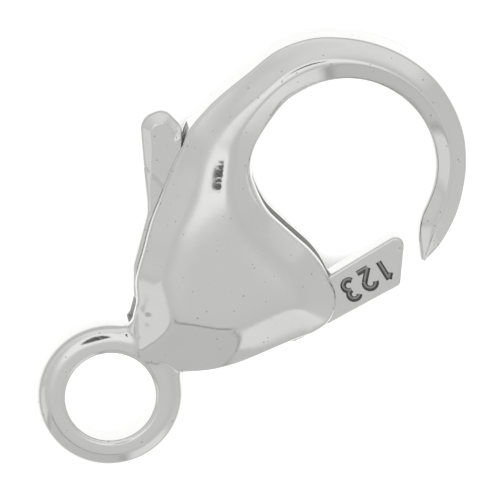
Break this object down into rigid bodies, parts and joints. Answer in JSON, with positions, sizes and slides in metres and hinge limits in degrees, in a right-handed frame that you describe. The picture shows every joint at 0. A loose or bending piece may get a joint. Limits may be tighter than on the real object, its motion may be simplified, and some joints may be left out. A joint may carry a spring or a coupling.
{
  "type": "lobster clasp",
  "caption": "Cast silver lobster clasp with a fixed end ring, a round hook and a sprung trigger that turns on a hidden pin.",
  "frame": {"origin": "centre of the end ring's bore, at the middle of the clasp's thickness", "axes": "+Z out of the front face along the ring's bore and the pivot pin, +Y from the ring towards the hook, +X towards the lobe and the tongue's side"},
  "size_m": [0.0085, 0.015, 0.0028],
  "materials": {
    "cast_silver": "tumble-polished sterling silver casting, bright mirror with fine handling marks",
    "trigger_silver": "polished sterling silver plate, lightly scratched on the thumb tab",
    "pin_steel": "drawn stainless wire, smooth",
    "spring_steel": "rolled spring strip, satin"
  },
  "bodies": {
    "casting": {"cast_body": "cast_silver", "pivot_pin": "pin_steel", "return_spring": "spring_steel"},
    "trigger": {"trigger": "trigger_silver"}
  },
  "joints": [
    {"name": "trigger_pivot", "type": "hinge", "parent": "casting", "child": "trigger", "pos_m": [-0.00035, 0.00385, 0], "axis": [0, 0, 1], "range_deg": [0, 24], "stiffness_Nm_per_rad": 0.008, "springref_deg": -20.05, "deforming": ["return_spring"]}
  ]
}
